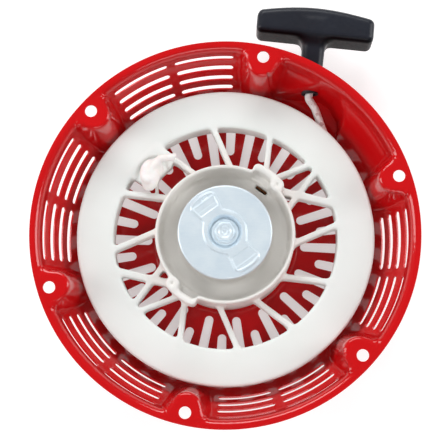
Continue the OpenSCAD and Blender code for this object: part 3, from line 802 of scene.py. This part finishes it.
# ------------------------------------------------------------------ guide plate and screw
def build_plate():
    rs = np.unique(np.r_[np.linspace(4.35, 8.0, 6), np.arange(8.0, 9.9, 0.16), np.arange(9.9, 26.0, 0.24), np.arange(26.0, 26.7, 0.1), 26.7])
    nt = 600
    th = np.radians(np.arange(nt) * 360 / nt)
    r, t = np.meshgrid(rs, th, indexing="ij")
    x, y = r * np.cos(t), r * np.sin(t)
    a = rad(126)
    u = x * math.cos(a) + y * math.sin(a)
    v = -x * math.sin(a) + y * math.cos(a)
    au = np.abs(u)
    hw = np.interp(au, [0, 9, 11, 21, 24.5], [8.4, 7.4, 6.3, 8.2, 7.6])
    tab = np.maximum(np.abs(v) - hw, r - 24.4)
    tab = smax(np.abs(v) - hw, r - 24.4, 3.0)
    bow = smin(tab, r - 12.2, 2.4)
    sm = lambda q: q * q * (3 - 2 * q)
    up = sm(np.clip(0.5 - bow / 1.1, 0, 1))
    z = -2.0 + 0.8 * up
    # steps and pressed lines across the tabs
    inn = sm(np.clip((-(np.abs(v) - hw) - 0.7) / 0.8, 0, 1))
    z -= 0.32 * inn * sm(np.clip((au - 14.2) / 0.7, 0, 1)) * sm(np.clip((23.3 - r) / 0.7, 0, 1))
    z += 0.20 * inn * np.exp(-((au - 20.6) / 0.45) ** 2)
    z -= 0.10 * inn * np.exp(-((au - 17.4) / 0.4) ** 2) * (u > 0)
    for k, c in enumerate((21.9, 22.7)):
        z -= 0.35 * np.exp(-((u - c + 0.05 * v) / 0.28) ** 2) * sm(np.clip((2.4 - np.abs(v + 2.0)) / 0.5, 0, 1))
    # dished centre and rolled edge
    z = np.minimum(z, np.interp(r, [0, 8.3, 9.2, 9.9, 10.4], [-4.8, -4.8, -2.7, -1.25, 0]))
    e = np.clip((r - 25.55) / 1.15, 0, 1)
    z = z - 0.9 * (1 - np.sqrt(1 - 0.98 * e * e))
    zb = np.minimum(z - 1.15, np.where(r > 25.5, -3.2, 0))
    zb = np.where(r > 25.7, np.minimum(zb, -5.2), zb)
    n, m = x.shape
    idx = np.arange(n * m).reshape(n, m)
    top = np.stack([x, y, z], 2).reshape(-1, 3)
    bot = np.stack([x, y, zb], 2).reshape(-1, 3)
    nx = np.roll(idx, -1, 1)
    q = np.stack([idx[:-1], idx[1:], nx[1:], nx[:-1]], 2).reshape(-1, 4)
    N = n * m
    faces = [q, q[:, ::-1] + N]
    o, on = idx[-1], nx[-1]
    faces.append(np.stack([o, o + N, on + N, on], 1))
    o, on = idx[0], nx[0]
    faces.append(np.stack([o, on, on + N, o + N], 1))
    V = [top, bot]
    base = 2 * N
    for h in (0, 180):
        c = pol(18, 55.7 + h)
        k = 28
        ang = np.arange(k) * 2 * np.pi / k
        prof = [(0.0, -10.2), (1.2, -10.2), (1.5, -9.9), (1.5, -2.6), (0.0, -2.6)]
        vv = np.array([[c[0] + pr * math.cos(g), c[1] + pr * math.sin(g), pz] for pr, pz in prof[1:4] for g in ang])
        V.append(np.vstack([vv, [[c[0], c[1], -10.2], [c[0], c[1], -2.6]]]))
        for j in range(2):
            i0 = base + j * k + np.arange(k)
            i1 = base + j * k + (np.arange(k) + 1) % k
            faces.append(np.stack([i0, i1, i1 + k, i0 + k], 1))
        i0, i1 = np.arange(k), (np.arange(k) + 1) % k
        cb, ct = base + 3 * k, base + 3 * k + 1
        faces.append(np.stack([np.full(k, cb), base + i1, base + i0], 1))
        faces.append(np.stack([np.full(k, ct), base + 2 * k + i0, base + 2 * k + i1], 1))
        base += 3 * k + 2
    fl = [tuple(f) for g in faces for f in g]
    return link("guide_plate_pressing", np.vstack(V), fl, "guide_plate", ZINC, 30, ["guide_plate"])


build_plate()


def build_screw():
    F = Field((-7.8, -7.8, -28), (7.8, 7.8, -0.7), 0.2)
    fl = F.turn([(0, -4.6), (7.35, -4.6), (7.6, -4.4), (7.6, -3.8), (6.9, -3.35), (0, -3.2)], 0.1)
    hx = np.full(F.X2.shape, -1e9)
    for k in range(6):
        a = rad(30 + 60 * k)
        hx = np.maximum(hx, F.X2 * math.cos(a) + F.Y2 * math.sin(a) - 5.0)
    head = slab(F.flat(hx), F.Z, -4, -0.85, 0.15)
    head = smax(head, F.turn([(0, -6), (5.7, -6), (5.7, -1.7), (4.9, -0.85), (0, -0.85)], 0.1), 0.3)
    head = smax(head, -F.turn([(0, 1), (3.7, 1), (3.5, -1.15), (2.9, -1.5), (1.5, -1.62), (1.1, -2.1), (0, -2.2)], 0.1), 0.35)
    b = smin(fl, head, 0.7)
    shank = F.turn([(0, -28), (2.4, -28), (2.95, -27.3), (2.95, -4), (0, -4)], 0.1)
    b = smin(b, shank, 0.4)
    V, Q = nets(b, F.lo, F.h)
    ob = link("centre_screw_body", V, Q, "housing", ZINC, 40, ["centre_screw"])
    m = ob.modifiers.new("d", "DECIMATE")
    m.ratio = 0.4
    apply_mods(ob)
    ob.data.polygons.foreach_set("use_smooth", np.ones(len(ob.data.polygons), bool))
    ob.data.set_sharp_from_angle(angle=rad(40))


build_screw()


# ------------------------------------------------------------------ grip
GO, LEAN, RZ = np.array([49.6, 88.3]), 5.3, -27.6
PULL = np.array([math.sin(rad(LEAN)), math.cos(rad(LEAN))])
CROSS = np.array([math.cos(rad(LEAN)), -math.sin(rad(LEAN))])


def build_grip():
    # local frame: x across, y along the pull, z as in the part
    F = Field((-34.5, 1.2, -12), (34.5, 47.8, 12), 0.55)
    h, r = 34.5, 3.6
    xs = np.linspace(-h + r + 0.3, h - r - 0.3, 25)
    crown = 42.7 + 4.4 * np.cos(np.radians(88 * (xs + 1.5) / h)) - r
    side = [(-h + r, 29.6 + r), (-h + r, 39.6), *zip(xs, crown), (h - r, 39.6), (h - r, 28.5 + r)]
    bar = slab(F.flat(poly2(F.X2, F.Y2, side)), F.Z, -12 + r, 12 - r, 0) - r
    w = np.clip((F.y - 1.2) / 26, 0, 1)
    hx = (6.3 + 0.45 * w)[None, :, None]
    hz = (6.4 + 2.2 * w ** 1.5)[None, :, None]
    qx, qz = np.abs(F.X) - hx + 4.0, np.abs(F.Z) - hz + 4.0
    st = np.minimum(np.maximum(qx, qz), 0) + np.hypot(np.maximum(qx, 0), np.maximum(qz, 0)) - 4.0
    st = smax(st, np.maximum(1.2 - F.Y, F.Y - 36.0), 1.2)
    b = smin(bar, st, 6.5)
    rr = np.hypot(F.X, F.Z)
    b = smax(b, -np.maximum(rr - 2.9, F.Y - 52), 0.8)
    b = smax(b, -np.maximum(rr - 7.6, 35.5 - F.Y), 1.0)
    V, Q = nets(blur(b, 1), F.lo, F.h)
    W = np.empty_like(V)
    W[:, :2] = GO + V[:, :1] * CROSS + V[:, 1:2] * PULL
    W[:, 2] = RZ + V[:, 2]
    Q = Q  # same handedness: x, y, z keep their order
    ob = link("grip_body", W, Q, "handle", GRIP, 50, ["grip"])
    m = ob.modifiers.new("d", "DECIMATE")
    m.ratio = 0.45
    apply_mods(ob)
    ob.data.polygons.foreach_set("use_smooth", np.ones(len(ob.data.polygons), bool))
    ob.data.set_sharp_from_angle(angle=rad(50))


build_grip()


# ------------------------------------------------------------------ rope
def sweep(P, r, sides=20, relief=0.0, pitch=7.0, cap=True):
    P = np.asarray(P, float)
    n = len(P)
    T = np.gradient(P, axis=0)
    T /= np.linalg.norm(T, axis=1, keepdims=True)
    s = np.r_[0, np.cumsum(np.linalg.norm(np.diff(P, axis=0), axis=1))]
    a = np.cross(T[0], [0.0, 0.0, 1.0])
    if np.linalg.norm(a) < 0.2:
        a = np.cross(T[0], [1.0, 0, 0])
    a /= np.linalg.norm(a)
    V = []
    r = np.broadcast_to(r, n)
    ph = 2 * np.pi * np.arange(sides) / sides
    for i in range(n):
        a = a - (a @ T[i]) * T[i]
        a /= np.linalg.norm(a)
        b = np.cross(T[i], a)
        k = 2 * math.pi * s[i] / pitch
        d = relief * (np.maximum(np.abs(np.cos(2 * ph + k)), np.abs(np.cos(2 * ph - k))) - 0.9) if relief else 0.0
        rr = r[i] + d
        V.append(P[i] + (rr * np.cos(ph))[:, None] * a + (rr * np.sin(ph))[:, None] * b)
    V = np.concatenate(V)
    i = np.arange(n - 1)[:, None] * sides
    j = np.arange(sides)[None, :]
    jn = (j + 1) % sides
    Q = [tuple(q) for q in np.stack([i + j, i + jn, i + sides + jn, i + sides + j], 2).reshape(-1, 4)]
    if cap:
        V = np.vstack([V, P[0] - T[0] * 0.12, P[-1] + T[-1] * 0.12])
        c0, c1 = n * sides, n * sides + 1
        Q += [(c0, (k + 1) % sides, k) for k in range(sides)]
        e = (n - 1) * sides
        Q += [(c1, e + k, e + (k + 1) % sides) for k in range(sides)]
    return V, Q


def dense(P, step):
    P = np.asarray(P, float)
    s = np.r_[0, np.cumsum(np.linalg.norm(np.diff(P, axis=0), axis=1))]
    m = max(8, int(s[-1] / step))
    t = np.linspace(0, s[-1], m)
    Q = np.stack([np.interp(t, s, P[:, k]) for k in range(3)], 1)
    w = max(1, int(1.6 / step))
    k = np.hanning(2 * w + 3)[1:-1]
    k /= k.sum()
    pad = len(k) // 2
    return np.stack([np.convolve(np.pad(Q[:, c], pad, mode="reflect", reflect_type="odd"), k, "valid") for c in range(3)], 1)


HOLE = np.array([49.6, 85.6])
HD = float(np.hypot(*HOLE))
TA = deg(math.atan2(HOLE[1], HOLE[0])) - deg(math.acos(74.5 / HD))


def build_ropes():
    # wound part
    R_ = lambda k: np.interp(k, [0, 39, 41, 80], [74.5, 74.5, 69.6, 69.6])
    Z_ = lambda k: np.interp(k, [0, 18, 20, 59, 61, 80], [RZ, RZ, RZ - 5.3, RZ - 5.3, RZ, RZ])
    ks = np.linspace(80, 0, 620)
    a = np.radians(TA - 360 / 22 * ks)
    P = np.stack([R_(ks) * np.cos(a), R_(ks) * np.sin(a), Z_(ks)], 1)
    lead_in = [(*pol(60.5, 135.2), RZ + 0.6), (*pol(64, 138.8), RZ), (*pol(68.2, 143.6), RZ)]
    P = dense(np.vstack([lead_in, P]), 1.6)
    V, Q = sweep(P, 2.25, 12, 0.10)
    link("rope_wound", V, Q, "reel", ROPE, 60, ["rope_on_reel"])
    # stretch from the reel to the outlet and through the grip
    tp = pol(74.5, TA)
    pts = [(*(tp + (HOLE - tp) * t), RZ) for t in np.linspace(0.004, 0.86, 10)]
    pts += [(HOLE[0] - 0.9, 83, RZ), (HOLE[0] - 0.3, 85.3, RZ), (HOLE[0], 87.3, RZ)]
    pts += [(*(GO + PULL * t), RZ) for t in (4, 14, 24, 33, 38.5)]
    P = dense(pts, 0.42)
    V, Q = sweep(P, 2.3, 22, 0.22, 6.4)
    ob = link("rope_lead_cord", V, Q, "", ROPE, 60, ["rope_lead"])
    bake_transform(ob)


build_ropes()


def cord_field(F, P, r, k):
    """thick cord along points, its passes joined by a plain minimum; k is not used"""
    d = np.full(np.broadcast_shapes(F.X.shape, F.Y.shape, F.Z.shape), 1e3, np.float32)
    P = np.asarray(P, np.float32)
    for a, b in zip(P[:-1], P[1:]):
        e = b - a
        L = max(float(e @ e), 1e-6)
        t = np.clip(((F.X - a[0]) * e[0] + (F.Y - a[1]) * e[1] + (F.Z - a[2]) * e[2]) / L, 0, 1)
        q = np.sqrt((F.X - a[0] - t * e[0]) ** 2 + (F.Y - a[1] - t * e[1]) ** 2 + (F.Z - a[2] - t * e[2]) ** 2) - r
        d = np.minimum(d, q)
    return d


def knot_points(big, small, turn_deg, centre, tilt, n=40):
    t = np.linspace(0, 2 * np.pi, n + 1)
    P = np.stack([(big + small * np.cos(3 * t)) * np.cos(2 * t), (big + small * np.cos(3 * t)) * np.sin(2 * t), small * np.sin(3 * t)], 1)
    M = Matrix.Rotation(rad(turn_deg), 3, "Z") @ Matrix.Rotation(rad(tilt), 3, "X")
    return P @ np.array(M).T + np.array(centre)


def build_knots():
    c = np.array([-42.8, 36.0, -17.2])
    P = knot_points(3.2, 1.9, 25, c, 18)
    # the knot is longer along the rope than across it
    u = np.array([0.27, 0.963, 0.0])
    P = P + ((P - c) @ u)[:, None] * u * 0.62
    F = Field((-53, 22, -24.5), (-25, 50, -9.5), 0.42)
    d = cord_field(F, P, 1.95, 0.5)
    a, b = (F.X - c[0]) * 0.27 + (F.Y - c[1]) * 0.963, (F.X - c[0]) * 0.963 - (F.Y - c[1]) * 0.27
    core = np.sqrt(a ** 2 / 2.4 + b ** 2 + (F.Z - c[2]) ** 2 * 1.5) - 4.7
    d = smin(d, core.astype(np.float32), 2.2)
    tail = cord_field(F, [(-41.0, 42.0, -16.2), (-37.2, 44.6, -14.6), (-29.0, 45.4, -13.8)], 2.15, 0.5)
    tail = smax(tail, ((F.X + 28.6) * 0.96 - (F.Y - 45.0) * 0.25).astype(np.float32), 0.5)
    d = smin(d, tail, 1.6)
    neck = cord_field(F, [(-41.0, 38.5, -17.5), (-40.4, 41.4, -20.5), (-40, 42.4, -24)], 2.25, 0.5)
    d = smin(d, neck, 1.2)
    V, Q = nets(blur(d, 1), F.lo, F.h)
    ob = link("rope_knot_on_reel", V, Q, "reel", KNOT, 60, ["reel_knot"])
    m = ob.modifiers.new("d", "DECIMATE")
    m.ratio = 0.6
    apply_mods(ob)
    # bend from the knot into the drum hole
    P = dense([(-39.7, 41.8, -22.0), (-40.1, 42.45, -24.4), (-41.0, 42.55, -26.3), (-43.4, 42.6, -27.2), (*pol(62, 136.8), RZ), (*pol(64.5, 139.5), RZ)], 0.5)
    V, Q = sweep(P, 2.15, 16, 0.3, 6.4)
    link("rope_bend", V, Q, "reel", ROPE, 60)
    # knot inside the top of the grip
    c = np.array([*(GO + PULL * 40.7), RZ])
    K = knot_points(3.3, 1.7, 0, (0, 0, 0), 0)
    P = np.empty_like(K)
    P[:, :2] = c[:2] + K[:, :1] * CROSS + K[:, 2:3] * PULL
    P[:, 2] = c[2] + K[:, 1]
    F = Field(c - 8, c + 8, 0.42)
    d = cord_field(F, P, 1.75, 0.4)
    V, Q = nets(blur(d, 1), F.lo, F.h)
    ob = link("rope_knot_in_grip", V, Q, "handle", KNOT, 60, ["grip_knot"])
    m = ob.modifiers.new("d", "DECIMATE")
    m.ratio = 0.6
    apply_mods(ob)


def make_knot():
    M = Mat("rope_fused", Roughness=0.6, IOR=1.5, Subsurface_Weight=0.1, Subsurface_Scale=0.002)
    M.set("Base Color", M.ramp(M.noise(260, 3), [(0.3, srgb(240, 236, 233)), (0.7, srgb(248, 246, 244))]))
    v = M.node("ShaderNodeTexVoronoi", {"Vector": M.co, "Scale": 900.0, "Randomness": 0.8})
    M.bump(M.math("MULTIPLY", v.outputs["Distance"], -1.0), 0.5, 0.0003)
    return M.m


KNOT = make_knot()
build_knots()


# eyelet in the rope outlet, in dark plastic; its dark ring also stands in for the shade inside the outlet (painted
# shade)
def build_guide():
    prof = [(3.5, -0.5), (3.65, -0.85), (4.2, -1.0), (4.9, -0.9), (5.05, -0.7), (4.8, -0.5), (4.8, 1.35), (5.6, 1.55), (5.7, 1.9), (5.2, 2.15), (4.1, 2.2), (3.6, 1.9), (3.5, 1.5)]
    n = 48
    V, Q = [], []
    for r, h in prof:
        for k in range(n):
            a = 2 * math.pi * k / n
            V.append((HOLE[0] + r * math.cos(a), 86.0 + h, RZ + r * math.sin(a)))
    m = len(prof)
    for i in range(m):
        for k in range(n):
            a, b = i * n + k, i * n + (k + 1) % n
            c, d = ((i + 1) % m) * n + (k + 1) % n, ((i + 1) % m) * n + k
            Q.append((a, b, c, d))
    link("rope_eyelet", V, Q, "housing", DARK, 50, ["rope_guide"])


build_guide()

# ------------------------------------------------------------------ stage, light, camera
me = bpy.data.meshes.new("floor")
L, zf = 3.0, cad_box[0][2] - 0.0006
me.from_pydata([(-L, -L, zf), (L, -L, zf), (L, L, zf), (-L, L, zf)], [], [(0, 1, 2, 3)])
floor = bpy.data.objects.new("floor", me)
scene.collection.objects.link(floor)
FM = Mat("floor_white", Roughness=0.9)
FM.set("Base Color", FM.ramp(FM.noise(3, 2), [(0.3, g4(0.57)), (0.7, g4(0.59))]))
FM.b.inputs["Emission Color"].default_value = (1, 1, 1, 1)
# painted light and shade: the floor glows less (0.40) under the housing, so the vents show painted shade, and more
# (0.62) beyond 104 mm from the centre, washing out the part's shadow around it
far = FM.node("ShaderNodeVectorMath", {0: FM.co}, operation="LENGTH").outputs["Value"]
FM.set("Emission Strength", FM.mapr(far, 0.078, 0.104, 0.40, 0.62))
me.materials.append(FM.m)

world = bpy.data.worlds.new("studio")
scene.world = world
world.use_nodes = True
world.node_tree.nodes["Background"].inputs[0].default_value = (1, 1, 1, 1)
world.node_tree.nodes["Background"].inputs[1].default_value = 0.12


def area(name, loc, size, power, target=(0, 0, -0.02), shape="RECTANGLE", size_y=None):
    li = bpy.data.lights.new(name, "AREA")
    li.shape = shape
    li.size = size
    li.size_y = size_y or size
    li.energy = power
    ob = bpy.data.objects.new(name, li)
    ob.location = loc
    ob.rotation_euler = (Vector(loc) - Vector(target)).to_track_quat("Z", "Y").to_euler()
    scene.collection.objects.link(ob)
    return ob


area("top", (-0.15, 1.05, 0.75), 1.0, 9.0, size_y=0.5)
area("right", (1.05, 0.25, 0.62), 0.5, 7.0, size_y=1.0)
area("left", (-1.05, 0.0, 0.62), 0.5, 7.5, size_y=1.0)
area("front", (0.1, -1.05, 0.75), 1.0, 4.0, size_y=0.5)
fill = area("high_fill", (0.0, -0.36, 1.05), 0.4, 1.6, size_y=0.3)
fill.visible_glossy = False

cam = bpy.data.cameras.new("camera")
cam.sensor_width = 36.0
cam.lens = 36.0 * 1338.688 / 448.0
cam.clip_start, cam.clip_end = 0.01, 20
cob = bpy.data.objects.new("camera", cam)
rx, ry = rad(-8.54), rad(-0.865)
Rx = np.array([[1, 0, 0], [0, math.cos(rx), -math.sin(rx)], [0, math.sin(rx), math.cos(rx)]])
Ry = np.array([[math.cos(ry), 0, math.sin(ry)], [0, 1, 0], [-math.sin(ry), 0, math.cos(ry)]])
R = Rx @ Ry
C = R.T @ np.array([-0.48, 4.08, 750.0]) * MM
W = np.eye(4)
W[:3, :3] = R.T
W[:3, 3] = C
cob.matrix_world = Matrix(W.tolist())
scene.collection.objects.link(cob)
scene.camera = cob
scene.view_settings.view_transform = "Standard"
